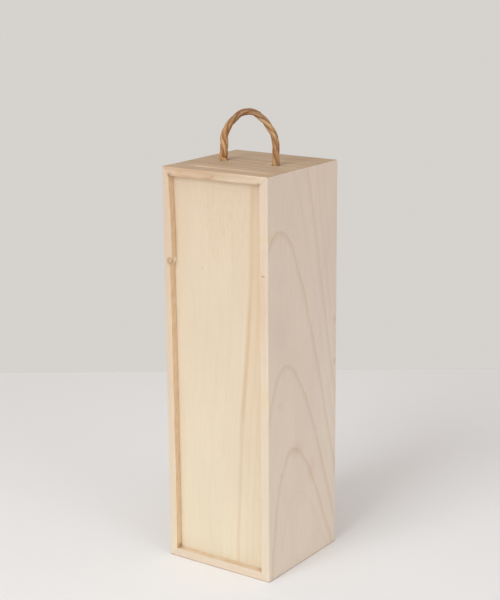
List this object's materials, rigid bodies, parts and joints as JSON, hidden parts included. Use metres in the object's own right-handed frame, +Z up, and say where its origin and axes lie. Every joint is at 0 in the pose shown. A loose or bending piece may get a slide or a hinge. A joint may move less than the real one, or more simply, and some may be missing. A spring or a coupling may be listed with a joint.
{
  "type": "wooden wine box",
  "caption": "Tall square wooden gift box for a wine bottle, with mitred corners, a recessed lift-out lid running in grooves and a knotted rope hoop handle on top.",
  "frame": {"origin": "the middle of the underside, on the surface that the box stands on", "axes": "+Z up along the box, -Y out of the lid's face towards the front, +X to the right of somebody who faces the lid"},
  "size_m": [0.106, 0.106, 0.3965],
  "materials": {
    "board_wood": "sanded, unfinished",
    "lid_wood": "sanded, unfinished",
    "top_wood": "sanded, unfinished",
    "rope": "three-strand twisted plant fibre",
    "pin_steel": "bright wire"
  },
  "bodies": {
    "box": {"left_wall": "board_wood", "right_wall": "board_wood", "bottom_wall": "board_wood", "top_wall": "top_wood", "back_panel": "board_wood", "back_pins": "pin_steel", "left_rope_knot": "rope", "right_rope_knot": "rope"},
    "lid": {"lid_panel": "lid_wood", "lid_bar": "top_wood"},
    "handle": {"rope_hoop": "rope"}
  },
  "joints": [
    {"name": "lid_slide", "type": "slide", "parent": "box", "child": "lid", "axis": [0, 0, 1], "range_m": [0, 0.352]},
    {"name": "handle_fold", "type": "hinge", "parent": "box", "child": "handle", "pos_m": [-0.001, 0, 0.35355], "axis": [1, 0, 0], "range_deg": [-85, 55], "stiffness_Nm_per_rad": 0.02}
  ]
}
